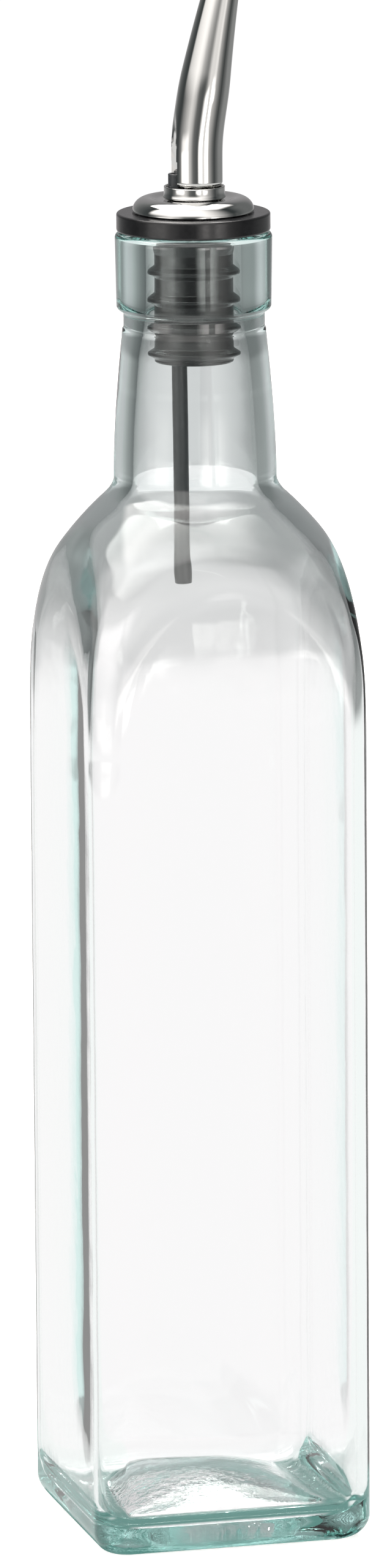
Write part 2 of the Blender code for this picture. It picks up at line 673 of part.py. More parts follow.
def make_collar():
    """A cup-shaped ring, flared at its foot, with a floor that the two tubes pass through."""
    foot = COLLAR_RADIUS + COLLAR_FOOT_FLARE
    floor = COLLAR_TOP_Z - COLLAR_RECESS_DEPTH
    lip = COLLAR_LIP_RADIUS
    outline = [
        (0.0, floor),
        (COLLAR_BORE_RADIUS, floor),
        (COLLAR_BORE_RADIUS, COLLAR_TOP_Z - lip),
        (COLLAR_BORE_RADIUS + lip, COLLAR_TOP_Z),
        (COLLAR_RADIUS - lip, COLLAR_TOP_Z),
        (COLLAR_RADIUS, COLLAR_TOP_Z - lip),
    ]
    for i in range(1, EDGE_STEPS + 1):
        share = i / EDGE_STEPS
        height = COLLAR_TOP_Z - lip - (COLLAR_HEIGHT - lip - COLLAR_FOOT_HEIGHT / 2.0) * share
        outline.append((COLLAR_RADIUS + (foot - COLLAR_RADIUS) * share**2, height))
    outline.append((COLLAR_RADIUS, COLLAR_BASE_Z))
    outline.append((0.0, COLLAR_BASE_Z))
    bm = turned(outline, centre_x=COLLAR_OFFSET)
    bmesh.ops.remove_doubles(bm, verts=bm.verts, dist=CLEARANCE / 1000.0)
    chrome = finish_material("collar_chrome", (0.80, 0.80, 0.79), 1.0, 0.12)
    collar = add_object("spout_collar", bm, chrome, (0.0, 0.0, DOME_BASE_Z))
    for cutter in (spigot_cutter(), breather_cutter()):
        cut = collar.modifiers.new(cutter.name, "BOOLEAN")
        cut.operation = "DIFFERENCE"
        cut.object = cutter
        cut.solver = "EXACT"
    return collar


def build():
    clear_scene()
    make_bottle()
    make_stopper()
    make_shank()
    make_dome()
    make_collar()
    make_spout()
    make_breather()


build()
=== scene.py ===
"""Oil and vinegar cruet: looks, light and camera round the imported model."""

import math

import bmesh
import bpy
from mathutils import Matrix, Vector


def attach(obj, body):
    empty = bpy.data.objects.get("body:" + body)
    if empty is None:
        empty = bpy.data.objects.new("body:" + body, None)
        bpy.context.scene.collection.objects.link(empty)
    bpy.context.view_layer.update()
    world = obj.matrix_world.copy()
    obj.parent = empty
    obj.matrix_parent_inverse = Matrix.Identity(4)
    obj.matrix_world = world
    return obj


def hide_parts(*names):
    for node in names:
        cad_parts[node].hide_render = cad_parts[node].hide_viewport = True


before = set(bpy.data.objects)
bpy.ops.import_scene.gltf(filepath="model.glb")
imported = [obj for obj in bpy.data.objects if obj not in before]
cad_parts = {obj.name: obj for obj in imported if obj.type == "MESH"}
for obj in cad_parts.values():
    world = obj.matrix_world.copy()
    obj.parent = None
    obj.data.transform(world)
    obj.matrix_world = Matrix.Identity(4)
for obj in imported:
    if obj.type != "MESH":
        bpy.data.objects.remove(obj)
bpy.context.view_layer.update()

MM = 0.001
QUARTER = math.pi / 2.0
DEGREES = 180.0 / math.pi

LIGHT_BOUNCES = 64
GLOSSY_BOUNCES = 14


class Tree:
    """Adds and joins shader nodes."""

    def __init__(self, tree):
        self.nodes = tree.nodes
        self.links = tree.links

    def add(self, kind, **settings):
        node = self.nodes.new(kind)
        for name, value in settings.items():
            setattr(node, name, value)
        return node

    def join(self, source, socket):
        self.links.new(source, socket)

    def feed(self, socket, value):
        """Join another node's output to the socket, or set the socket to a plain value."""
        if isinstance(value, bpy.types.NodeSocket):
            self.join(value, socket)
        else:
            socket.default_value = value

    def math(self, operation, first, second=0.0, third=0.0):
        node = self.add("ShaderNodeMath", operation=operation)
        for socket, value in zip(node.inputs, (first, second, third)):
            self.feed(socket, value)
        return node.outputs[0]

    def times(self, *values):
        result = values[0]
        for value in values[1:]:
            result = self.math("MULTIPLY", result, value)
        return result

    def rest(self, share):
        return self.math("SUBTRACT", 1.0, share)

    def ease(self, value, low, high, start=0.0, end=1.0):
        """Pass smoothly from start, where the value is low, to end, where it is high."""
        node = self.add("ShaderNodeMapRange", interpolation_type="SMOOTHSTEP")
        self.feed(node.inputs["Value"], value)
        self.feed(node.inputs["From Min"], low)
        self.feed(node.inputs["From Max"], high)
        self.feed(node.inputs["To Min"], start)
        self.feed(node.inputs["To Max"], end)
        return node.outputs["Result"]

    def fall(self, value, low, high, start=1.0):
        return self.ease(value, low, high, start, 0.0)

    def band(self, value, low, low_full, high_full, high):
        return self.times(self.ease(value, low, low_full), self.fall(value, high_full, high))

    def place(self):
        return self.add("ShaderNodeTexCoord").outputs["Object"]

    def stretched(self, factors):
        """Object coordinates scaled by the factors, for drawn-out grain."""
        mapping = self.add("ShaderNodeMapping")
        mapping.inputs["Scale"].default_value = factors
        self.join(self.place(), mapping.inputs["Vector"])
        return mapping.outputs["Vector"]

    def noise(self, scale, detail, rough=0.5, vector=None):
        node = self.add("ShaderNodeTexNoise")
        self.join(self.place() if vector is None else vector, node.inputs["Vector"])
        node.inputs["Scale"].default_value = scale
        node.inputs["Detail"].default_value = detail
        node.inputs["Roughness"].default_value = rough
        return node.outputs["Fac"]

    def bump(self, height, strength, distance):
        node = self.add("ShaderNodeBump")
        node.inputs["Strength"].default_value = strength
        node.inputs["Distance"].default_value = distance
        self.join(height, node.inputs["Height"])
        return node.outputs["Normal"]

    def blend(self, factor, first, second):
        """Mix two colours, each given as three values or as another node's output."""
        node = self.add("ShaderNodeMix", data_type="RGBA")
        self.feed(node.inputs[0], factor)
        for socket, colour in ((node.inputs[6], first), (node.inputs[7], second)):
            self.feed(socket, (*colour, 1.0) if isinstance(colour, tuple) else colour)
        return node.outputs[2]

    def glow(self, colour, strength):
        node = self.add("ShaderNodeBackground")
        node.inputs["Color"].default_value = (*colour, 1.0)
        self.feed(node.inputs["Strength"], strength)
        return node.outputs[0]

    def both(self, first, second):
        node = self.add("ShaderNodeAddShader")
        self.join(first, node.inputs[0])
        self.join(second, node.inputs[1])
        return node.outputs[0]

    def mixed(self, factor, first, second):
        node = self.add("ShaderNodeMixShader")
        for socket, source in zip(node.inputs, (factor, first, second)):
            self.join(source, socket)
        return node.outputs[0]

    def direct(self, others, camera):
        """The camera sees one shader directly, and the glass and the metal see the other."""
        seen = self.add("ShaderNodeLightPath").outputs["Is Camera Ray"]
        return self.mixed(seen, others, camera)


def material(name, **settings):
    """A new material, its nodes and its shader, whose sockets take the settings."""
    item = bpy.data.materials.new(name)
    item.use_nodes = True
    tree = Tree(item.node_tree)
    shader = tree.nodes["Principled BSDF"]
    for setting, value in settings.items():
        shader.inputs[setting.replace("_", " ")].default_value = value
    return item, tree, shader


# The camera, fitted to the photo.
CAMERA_PLACE = (-0.554517, -2.141102, 0.595056)
CAMERA_AZIMUTH = math.radians(-14.520)
CAMERA_ELEVATION = math.radians(11.2075)
CAMERA_ROLL = math.radians(-0.4168)
CAMERA_CLIP = (0.01, 100.0)
SENSOR_WIDTH = 36.0
FOCAL_PIXELS = 18286.7
PRINCIPAL = (322.53, 1245.94)
PHOTO_SIZE = (613.0, 2560.0)


def make_camera():
    sin_a, cos_a = math.sin(CAMERA_AZIMUTH), math.cos(CAMERA_AZIMUTH)
    sin_e, cos_e = math.sin(CAMERA_ELEVATION), math.cos(CAMERA_ELEVATION)
    back = Vector((sin_a * cos_e, -cos_a * cos_e, sin_e))
    right = Vector((cos_a, sin_a, 0.0))
    up = back.cross(right)
    cos_r, sin_r = math.cos(CAMERA_ROLL), math.sin(CAMERA_ROLL)
    across = right * cos_r + up * sin_r
    upward = up * cos_r - right * sin_r
    data = bpy.data.cameras.new("camera")
    data.sensor_fit = "AUTO"
    data.sensor_width = SENSOR_WIDTH
    data.lens = FOCAL_PIXELS * SENSOR_WIDTH / PHOTO_SIZE[1]
    data.shift_x = -(PRINCIPAL[0] - PHOTO_SIZE[0] / 2.0) / PHOTO_SIZE[1]
    data.shift_y = (PRINCIPAL[1] - PHOTO_SIZE[1] / 2.0) / PHOTO_SIZE[1]
    data.clip_start, data.clip_end = CAMERA_CLIP
    camera = bpy.data.objects.new("camera", data)
    camera.matrix_world = Matrix(
        (
            (across.x, upward.x, back.x, CAMERA_PLACE[0]),
            (across.y, upward.y, back.y, CAMERA_PLACE[1]),
            (across.z, upward.z, back.z, CAMERA_PLACE[2]),
            (0.0, 0.0, 0.0, 1.0),
        )
    )
    bpy.context.scene.collection.objects.link(camera)
    bpy.context.scene.camera = camera


# The studio. Turns are degrees round from the camera, right side positive, and heights are degrees
# up. Four values are where a light begins, is full, starts to fade and ends, and two are a fade.

# How bright the low part of the studio is, by turn.
LOW_RING = (
    (-180, 0.88), (-163, 0.78), (-153, 0.68), (-140, 0.45), (-128, 0.28), (-112, 0.12),
    (-100, 0.05), (-89, 0.07), (-79, 0.22), (-69, 0.39), (-60, 0.57), (-51, 0.76), (-43, 0.92),
    (-35, 0.80), (-27, 0.56), (-19, 0.22), (-11, 0.11), (4, 0.10), (11, 0.31), (19, 0.78),
    (27, 1.05), (35, 1.02), (43, 0.83), (51, 0.58), (60, 0.40), (69, 0.21), (79, 0.07), (89, 0.07),
    (113, 0.36), (150, 0.40), (164, 0.66), (180, 0.88),
)
FRONT_TURN = (-100.0, -84.0, 84.0, 100.0)
FRONT_LOW_TOP = (6.0, 22.0)
RIGHT_BOX_TURN = (2.0, 18.0, 36.0, 56.0)
LEFT_BOX_TURN = (-78.0, -64.0, -46.0, -34.0)
LEFT_BOX_SHARE = 0.5
BOX_GAP_TURN = (22.5, 25.0, 33.0, 35.5)
BOX_FOOT = (-10.5, -9.0)
BOX_TOP = (-7.0, -5.0)
BOX_DIM_TOP = (-4.0, 0.0)
BOX_DIM_SHARE = 0.40
STANDING_BOXES = 4.0
BACK_CLIMB = (-10.5, 2.0)
HORIZON = 0.73
BACK_WALL = 0.35
BACK_WALL_TOP = (35.0, 60.0)
TABLE_EDGE = (-34.0, -22.0)
FRONT_BOX_TURN = (-98.0, -86.0, 12.0, 84.0)
FRONT_BOX_HEIGHT = (2.0, 22.0, 66.0, 80.0)
FRONT_BOX = 1.6
BACK_TURN = (150.0, 157.0)
DARK = 0.055
BACKDROP = 1.05
AHEAD_TINT = (1.04, 1.0, 0.97)
BEHIND_TINT = (1.05, 1.0, 1.01)
ASIDE_TINT = (1.01, 1.0, 0.985)
DARK_TINT = (0.85, 1.0, 1.02)
WHITE = (1.0, 1.0, 1.0)

# Places on the level over the bottle, as shares of its height: to the right and towards the camera.
LEAST_RISE = 0.02
OVERHEAD_ACROSS = (-0.92, -0.80, 0.20, 0.80)
OVERHEAD_TOWARD = (-0.80, -0.66, 0.05, 0.35)
OVERHEAD_BOX = 5.0
REAR_OVERHEAD_ACROSS = (-0.36, -0.28, 0.24, 0.32)
REAR_OVERHEAD_TOWARD = (-0.24, -0.14)
REAR_OVERHEAD_BOX = 10.0

FLOOR_RADIUS = 1.6
FLOOR_POINTS = 128
FLOOR_GRAIN = 3.0
FLOOR_PALE = (0.90, 0.88, 0.86)
FLOOR_SHADE = (0.88, 0.86, 0.84)
FLOOR_FADE = (0.88, 1.10)
FLOOR_GLOW = 0.955
SIDE_FLOOR = (1.0, 1.0, 0.99)
# Painted shadow on the floor under the bottle, seen in the glass: faint and pinkish under its middle, dark
# and teal under its heel. The widths say where the heel's shadow starts and where the painted shadow ends.
PAINTED_SHADE_UNDER_MIDDLE = (0.90, 0.80, 0.82)
PAINTED_SHADOW_UNDER_HEEL = (0.13, 0.29, 0.26)
PAINTED_SHADOW_HEEL_START = (17.0 * MM, 22.0 * MM)
PAINTED_SHADOW_END = (27.0 * MM, 29.5 * MM)


def around(tree, place):
    """Degrees round from the camera's side, positive on the picture's right, and the place."""
    split = tree.add("ShaderNodeSeparateXYZ")
    tree.join(place, split.inputs[0])
    x, y, z = split.outputs
    turn = tree.math("ARCTAN2", x, tree.math("SUBTRACT", 0.0, y))
    turn = tree.math("SUBTRACT", turn, CAMERA_AZIMUTH)
    turn = tree.math("WRAP", turn, math.pi, -math.pi)
    return tree.times(turn, DEGREES), x, y, z


def ring_ramp(tree, turn, stops):
    ramp = tree.add("ShaderNodeValToRGB")
    ramp.color_ramp.interpolation = "CARDINAL"
    elements = ramp.color_ramp.elements
    while len(elements) > 1:
        elements.remove(elements[-1])
    for i, (degrees, value) in enumerate(stops):
        place = (degrees + 180.0) / 360.0
        stop = elements[0] if i == 0 else elements.new(place)
        stop.position = place
        stop.color = (value, value, value, 1.0)
    share = tree.math("DIVIDE", tree.math("ADD", turn, 180.0), 360.0)
    tree.join(share, ramp.inputs[0])
    return ramp.outputs[0]


def low_light(tree, turn, height):
    """The low light ahead of the bottle, and the low light and table behind it."""
    ring = ring_ramp(tree, turn, LOW_RING)
    front = tree.band(turn, *FRONT_TURN)
    left = tree.times(tree.band(turn, *LEFT_BOX_TURN), LEFT_BOX_SHARE)
    boxes = tree.math("ADD", tree.band(turn, *RIGHT_BOX_TURN), left)
    gap = tree.rest(tree.band(turn, *BOX_GAP_TURN))
    dim = tree.fall(height, *BOX_DIM_TOP, BOX_DIM_SHARE)
    top = tree.math("MAXIMUM", tree.fall(height, *BOX_TOP), dim)
    boxes = tree.times(boxes, gap, tree.ease(height, *BOX_FOOT), top, STANDING_BOXES)
    ahead = tree.math("ADD", tree.times(ring, front), boxes)
    ahead = tree.times(ahead, tree.fall(height, *FRONT_LOW_TOP))
    climb = tree.ease(height, *BACK_CLIMB, HORIZON, BACK_WALL)
    climb = tree.times(climb, tree.fall(height, *BACK_WALL_TOP))
    behind = tree.times(ring, tree.rest(front), climb)
    above = tree.ease(height, *TABLE_EDGE)
    table = tree.times(tree.fall(height, *TABLE_EDGE), FLOOR_GLOW)
    return tree.times(ahead, above), tree.math("ADD", tree.times(behind, above), table)


def high_light(tree, turn, height, x, y, z):
    """The wide box high in front, and the box overhead with its bright rear part."""
    front = tree.band(height, *FRONT_BOX_HEIGHT)
    front = tree.times(tree.band(turn, *FRONT_BOX_TURN), front, FRONT_BOX)
    sin_a, cos_a = math.sin(CAMERA_AZIMUTH), math.cos(CAMERA_AZIMUTH)
    up = tree.math("MAXIMUM", z, LEAST_RISE)
    across = tree.math("ADD", tree.times(x, cos_a), tree.times(y, sin_a))
    across = tree.math("DIVIDE", across, up)
    toward = tree.math("SUBTRACT", tree.times(x, sin_a), tree.times(y, cos_a))
    toward = tree.math("DIVIDE", toward, up)
    rear = tree.fall(toward, *REAR_OVERHEAD_TOWARD)
    rear = tree.times(tree.band(across, *REAR_OVERHEAD_ACROSS), rear, REAR_OVERHEAD_BOX)
    top = tree.times(tree.band(across, *OVERHEAD_ACROSS), tree.band(toward, *OVERHEAD_TOWARD))
    top = tree.times(top, tree.math("ADD", rear, OVERHEAD_BOX))
    return tree.math("ADD", front, top)


def make_world():
    world = bpy.data.worlds.new("studio")
    bpy.context.scene.world = world
    world.use_nodes = True
    world.node_tree.nodes.clear()
    tree = Tree(world.node_tree)
    turn, x, y, z = around(tree, tree.add("ShaderNodeTexCoord").outputs["Generated"])
    height = tree.times(tree.math("ARCSINE", z), DEGREES)
    ahead, behind = low_light(tree, turn, height)
    ahead = tree.math("ADD", ahead, high_light(tree, turn, height, x, y, z))
    aside = tree.fall(tree.math("ABSOLUTE", turn), *BACK_TURN)
    lit = tree.glow(AHEAD_TINT, ahead)
    lit = tree.both(lit, tree.glow(BEHIND_TINT, tree.times(behind, tree.rest(aside))))
    lit = tree.both(lit, tree.glow(ASIDE_TINT, tree.times(behind, aside)))
    lit = tree.both(lit, tree.glow(DARK_TINT, DARK))
    out = tree.add("ShaderNodeOutputWorld")
    tree.join(tree.direct(lit, tree.glow(WHITE, BACKDROP)), out.inputs["Surface"])


def make_floor():
    """A pale table that glows in the glass, with a painted shadow under the bottle, and fades into the
    studio's light.
    """
    mesh = bpy.data.meshes.new("studio_floor")
    bm = bmesh.new()
    bmesh.ops.create_circle(bm, cap_ends=True, segments=FLOOR_POINTS, radius=FLOOR_RADIUS)
    bm.to_mesh(mesh)
    bm.free()
    item, tree, shader = material(
        "studio_floor",
        Roughness=0.8,
        Specular_IOR_Level=0.2,
        Emission_Color=(1.0, 1.0, 1.0, 1.0),
        Emission_Strength=0.55,
    )
    colour = tree.blend(tree.noise(FLOOR_GRAIN, detail=3.0), FLOOR_PALE, FLOOR_SHADE)
    tree.join(colour, shader.inputs["Base Color"])
    turn, x, y, _ = around(tree, tree.place())
    reach = tree.math("SQRT", tree.math("ADD", tree.times(x, x), tree.times(y, y)))
    widest = tree.math("MAXIMUM", tree.math("ABSOLUTE", x), tree.math("ABSOLUTE", y))
    # Painted shadow under the bottle: faint shade under its middle, a dark teal shadow under its heel,
    # fading out past the foot.
    under = tree.blend(tree.ease(widest, *PAINTED_SHADOW_HEEL_START), PAINTED_SHADE_UNDER_MIDDLE, PAINTED_SHADOW_UNDER_HEEL)
    behind = tree.ease(tree.math("ABSOLUTE", turn), *BACK_TURN)
    far = tree.blend(behind, SIDE_FLOOR, BEHIND_TINT)
    glass_sees = tree.add("ShaderNodeEmission")
    colour = tree.blend(tree.ease(widest, *PAINTED_SHADOW_END), under, far)
    tree.join(colour, glass_sees.inputs["Color"])
    glass_sees.inputs["Strength"].default_value = FLOOR_GLOW
    clear = tree.add("ShaderNodeBsdfTransparent")
    faded = tree.mixed(tree.ease(reach, *FLOOR_FADE), glass_sees.outputs[0], clear.outputs[0])
    chosen = tree.direct(faded, shader.outputs[0])
    tree.join(chosen, tree.nodes["Material Output"].inputs["Surface"])
    mesh.materials.append(item)
    floor = bpy.data.objects.new("studio_floor", mesh)
    bpy.context.scene.collection.objects.link(floor)


# Materials.
GLASS_ABSORBS = (0.30, 0.79, 0.738, 1.0)
GLASS_DENSITY = 18.0
WAVES = 60.0
WAVE_HEIGHT = 0.1 * MM
CRINKLES = 650.0
CRINKLE_HEIGHT = 0.14 * MM
FLOOR_CRINKLE_TOP = (12.1 * MM, 15.6 * MM)
FLOOR_CRINKLE_SIDE = (21.0 * MM, 24.5 * MM)
SIDE_CRINKLE = 0.06
FOOT_CRINKLE_TOP = (1.2 * MM, 3.6 * MM)
FOOT_CRINKLE = 0.8
GRAIN_SPAN = (0.3, 0.7)
RUBBER_GRAIN = 900.0
RUBBER_DEEP = (0.006, 0.006, 0.007)
RUBBER_PALE = (0.012, 0.012, 0.013)
RUBBER_ROUGHNESS = (0.18, 0.24)
PLASTIC_GRAIN = 700.0
PLASTIC_DEEP = (0.022, 0.025, 0.028)
PLASTIC_PALE = (0.032, 0.036, 0.040)
PLASTIC_ROUGHNESS = (0.30, 0.42)
BRIGHT_METAL = (0.68, 0.68, 0.67)
DULL_METAL = (0.55, 0.55, 0.54)
METAL_SHADE = 0.94
METAL_SMOOTHER = 0.7
METAL_ROUGHER = 1.3
METAL_BUMP = 0.02 * MM


def glass_material():
    """Pale green glass with slow waves, stippled on its floor and round its foot."""
    item, tree, shader = material(
        "pale_green_glass",
        Base_Color=(1.0, 1.0, 1.0, 1.0),
        Transmission_Weight=1.0,
        IOR=1.52,
        Roughness=0.0,
    )
    split = tree.add("ShaderNodeSeparateXYZ")
    tree.join(tree.place(), split.inputs[0])
    x, y, z = split.outputs
    waves = tree.times(tree.noise(WAVES, detail=2.0, rough=0.4), WAVE_HEIGHT)
    widest = tree.math("MAXIMUM", tree.math("ABSOLUTE", x), tree.math("ABSOLUTE", y))
    inwards = tree.ease(widest, *FLOOR_CRINKLE_SIDE, 1.0, SIDE_CRINKLE)
    by_floor = tree.times(tree.fall(z, *FLOOR_CRINKLE_TOP), inwards)
    by_foot = tree.fall(z, *FOOT_CRINKLE_TOP, FOOT_CRINKLE)
    share = tree.times(tree.math("MAXIMUM", by_floor, by_foot), CRINKLE_HEIGHT)
    crinkle = tree.times(tree.noise(CRINKLES, detail=2.0, rough=0.6), share)
    height = tree.math("ADD", waves, crinkle)
    tree.join(tree.bump(height, strength=1.0, distance=1.0), shader.inputs["Normal"])
    absorb = tree.add("ShaderNodeVolumeAbsorption")
    absorb.inputs["Color"].default_value = GLASS_ABSORBS
    absorb.inputs["Density"].default_value = GLASS_DENSITY
    tree.join(absorb.outputs[0], tree.nodes["Material Output"].inputs["Volume"])
    return item


def rubber_material():
    item, tree, shader = material("black_rubber", Specular_IOR_Level=0.5)
    grain = tree.noise(RUBBER_GRAIN, detail=4.0, rough=0.6)
    tree.join(tree.blend(grain, RUBBER_DEEP, RUBBER_PALE), shader.inputs["Base Color"])
    tree.join(tree.ease(grain, *GRAIN_SPAN, *RUBBER_ROUGHNESS), shader.inputs["Roughness"])
    tree.join(tree.bump(grain, strength=0.15, distance=0.1 * MM), shader.inputs["Normal"])
    return item


def metal_material(name, colour, rough, grain_scale, strength):
    item, tree, shader = material(name, Metallic=1.0)
    grain = tree.noise(1.0, detail=3.0, rough=0.6, vector=tree.stretched(grain_scale))
    dark = tuple(value * METAL_SHADE for value in colour)
    tree.join(tree.blend(grain, dark, colour), shader.inputs["Base Color"])
    roughness = tree.ease(grain, *GRAIN_SPAN, rough * METAL_SMOOTHER, rough * METAL_ROUGHER)
    tree.join(roughness, shader.inputs["Roughness"])
    tree.join(tree.bump(grain, strength, METAL_BUMP), shader.inputs["Normal"])
    return item


def plastic_material():
    item, tree, shader = material("breather_grey")
    grain = tree.noise(PLASTIC_GRAIN, detail=3.0)
    tree.join(tree.blend(grain, PLASTIC_DEEP, PLASTIC_PALE), shader.inputs["Base Color"])
    tree.join(tree.ease(grain, *GRAIN_SPAN, *PLASTIC_ROUGHNESS), shader.inputs["Roughness"])
    tree.join(tree.bump(grain, strength=0.1, distance=0.05 * MM), shader.inputs["Normal"])
    return item


# Meshes.
def smooth_min(first, second, blend):
    near = max(blend - abs(first - second), 0.0)
    return min(first, second) - near * near / (4.0 * blend)


def ease(share):
    held = min(max(share, 0.0), 1.0)
    return held * held * (3.0 - 2.0 * held)


def spread(low, high, steps):
    return [low + (high - low) * i / steps for i in range(steps + 1)]


def skin(rings, closed):
    """Join rings of as many points each with quads, and the last to the first where closed."""
    bm = bmesh.new()
    loops = [[bm.verts.new(point) for point in ring] for ring in rings]
    count = len(loops[0])
    for lower, upper in zip(loops, loops[1:] + loops[:1] if closed else loops[1:]):
        for i in range(count):
            j = (i + 1) % count
            bm.faces.new((lower[i], lower[j], upper[j], upper[i]))
    return bm, loops


def loft(rings, first, last):
    """Skin rings and close both ends over a point."""
    bm, loops = skin(rings, closed=False)
    for loop, point in ((loops[0], first), (loops[-1], last)):
        tip = bm.verts.new(point)
        for here, there in zip(loop, loop[1:] + loop[:1]):
            bm.faces.new((here, there, tip))
    bmesh.ops.recalc_face_normals(bm, faces=bm.faces)
    return bm


def add_piece(name, bm, item, body, node, sharp=None):
    """Dress a node's place with a mesh of its own, whose edges over sharp degrees stay sharp."""
    mesh = bpy.data.meshes.new(name)
    bm.to_mesh(mesh)
    bm.free()
    mesh.shade_smooth()
    if sharp is not None:
        mesh.set_sharp_from_angle(angle=math.radians(sharp))
    mesh.materials.append(item)
    piece = bpy.data.objects.new(name, mesh)
    bpy.context.scene.collection.objects.link(piece)
    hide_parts(node)
    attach(piece, body)
    return piece


# The glass.
HALF = 28.75 * MM
CORNER = 5.2 * MM
HEEL = 5.4 * MM
BEARING_CORNER = 3.0 * MM
BEARING_WIDTH = 3.4 * MM
PUNT_HEIGHT = 7.4 * MM
WALL = 1.7 * MM
INNER_CORNER = 4.6 * MM
FACE_THICKENING = 1.0 * MM
THICKENING_START = 182.0 * MM
THICKENING_LENGTH = 20.0 * MM
WALL_SWELL = 0.5 * MM
SWELL_REACH = 20.0 * MM
SWELL_FOOT_LENGTH = 20.0 * MM
SWELL_TOP_RISE = 46.0 * MM
SWELL_TOP_LENGTH = 16.0 * MM
INNER_HEEL = 6.0 * MM
FLOOR_THICKNESS = 5.2 * MM
FLOOR_RISE = 6.6 * MM
FLOOR_CURVE = 2.95
FLOOR_CORNER = 2.5 * MM
SHOULDER_ARC = 67.8 * MM
SHOULDER_OVERRUN = 2.0 * MM
SHOULDER_LEAD = 16.0 * MM
CORNER_BLEND = 3.0 * MM
FACE_BLEND = 4.0 * MM
INNER_BLEND = 3.0 * MM
INNER_BLEND_LEFT = 6.5 * MM
SOFT_SIDE = math.radians(185.0)
SOFT_POWER = 3
NECK_ROOT_Z = 213.8 * MM
NECK_ROOT_RADIUS = 16.4 * MM
NECK_ROOT_BLEND = 1.6 * MM
NECK_ROOT_HOLLOW = 1.4 * MM
NECK_FLARE = 31.8 * MM
NECK_COLLAR_RADIUS = 14.2 * MM
NECK_COLLAR_HEIGHT = 3.6 * MM
NECK_COLLAR_EDGE = 0.3 * MM
NECK_SEAM_STEP = 0.2 * MM
LIP_RADIUS = 15.75 * MM
LIP_HEIGHT = 15.7 * MM
LIP_EDGE = 1.0 * MM
LIP_DRAFT = 0.25 * MM
MOUTH_RADIUS = 9.6 * MM
MOUTH_EDGE = 0.9 * MM
MOUTH_STRAIGHT = 10.9 * MM
BORE_FLARE = 14.0 * MM
BORE_JOIN_DROP = 12.0 * MM
# The glass's thickness at some heights above the wall's own, from the top down, in millimetres.
THICKNESS = (
    (250.0, 4.1), (240.0, 3.9), (225.0, 3.9), (214.0, 3.9), (208.0, 3.3), (202.0, 2.6), (196.0, 2.1),
    (190.0, 1.85), (184.0, 1.7),
)

SEAM_Z = NECK_ROOT_Z + NECK_FLARE
LIP_BASE_Z = SEAM_Z + NECK_COLLAR_HEIGHT
LIP_TOP_Z = LIP_BASE_Z + LIP_HEIGHT

FACE_POINTS = 36
CORNER_POINTS = 14
FLOOR_RINGS = 24
BEARING_RINGS = 4
HEEL_RINGS = 12
BODY_RINGS = 40
LEAD_RINGS = 4
ARC_RINGS = 60
ROOT_RINGS = 8
NECK_RINGS = 32
COLLAR_RINGS = 5
LIP_RINGS = 24
LIP_EDGE_RINGS = 10
LIP_TOP_RINGS = 8
MOUTH_RINGS = 16
BORE_RINGS = 40


def square_reach(angle, half, corner):
    """Distance from the axis to a rounded square, in the direction of the angle."""
    folded = angle % QUARTER
    folded = min(folded, QUARTER - folded)
    centre = half - corner
    if half * math.tan(folded) <= centre:
        return half / math.cos(folded)
    along = centre * (math.cos(folded) + math.sin(folded))
    across = centre * (math.cos(folded) - math.sin(folded))
    return along + math.sqrt(max(corner * corner - across * across, 0.0))


def ring_angles():
    """Directions for the points of each ring: even along the faces and round the corners."""
    tangent = math.atan2(HALF - CORNER, HALF)
    sweep = QUARTER - 2.0 * tangent
    angles = []
    for side in range(4):
        start = side * QUARTER - tangent
        angles += [start + 2.0 * tangent * i / FACE_POINTS for i in range(FACE_POINTS)]
        angles += [start + 2.0 * tangent + sweep * i / CORNER_POINTS for i in range(CORNER_POINTS)]
    return angles


ANGLES = ring_angles()


def outer_blend(angle):
    return CORNER_BLEND + (FACE_BLEND - CORNER_BLEND) * math.cos(2.0 * angle) ** 2


def inner_blend(angle):
    """The inside is rounder than the outside, most of all to the left of the front corner."""
    softer = max(math.cos(angle - SOFT_SIDE), 0.0) ** SOFT_POWER
    return INNER_BLEND + (INNER_BLEND_LEFT - INNER_BLEND) * softer


def square_ring(height, half, corner, limit=None, blend=outer_blend):
    """A rounded square, kept smoothly within a circle where a limit is given."""
    ring = []
    for angle in ANGLES:
        reach = square_reach(angle, half, corner)
        if limit is not None:
            reach = smooth_min(reach, limit, blend(angle))
        ring.append(Vector((reach * math.cos(angle), reach * math.sin(angle), height)))
    return ring


def round_ring(height, radius):
    return [Vector((radius * math.cos(a), radius * math.sin(a), height)) for a in ANGLES]


def swollen(ring, amount):
    """Push the middles of a ring's four faces inwards: a blown wall is thinner by its corners."""
    points = []
    for x, y, z in ring:
        across = min(abs(x), abs(y))
        inset = amount * (1.0 - min(across / SWELL_REACH, 1.0) ** 2)
        if abs(x) > abs(y):
            x -= math.copysign(inset, x)
        else:
            y -= math.copysign(inset, y)
        points.append(Vector((x, y, z)))
    return points


def shoulder_arc():
    """Where the middle of the shoulder's arc stands: its distance from the axis and its height."""
    widest = square_reach(math.pi / 4.0, HALF, CORNER) + SHOULDER_OVERRUN
    centre_x = widest - SHOULDER_ARC
    rise = math.sqrt(SHOULDER_ARC**2 - (NECK_ROOT_RADIUS - centre_x) ** 2)
    return centre_x, NECK_ROOT_Z - rise


ARC_X, ARC_Z = shoulder_arc()
LEAD_Z = ARC_Z - SHOULDER_LEAD


def shoulder_radius(height):
    rise = height - ARC_Z
    if rise <= 0.0:
        return ARC_X + SHOULDER_ARC - rise
    return ARC_X + math.sqrt(max(SHOULDER_ARC * SHOULDER_ARC - rise * rise, 0.0))


def neck_radius(height):
    share = (SEAM_Z - height) / NECK_FLARE
    top = NECK_COLLAR_RADIUS + NECK_SEAM_STEP
    return top + (NECK_ROOT_RADIUS - top) * math.sin(QUARTER * min(share, 1.0))


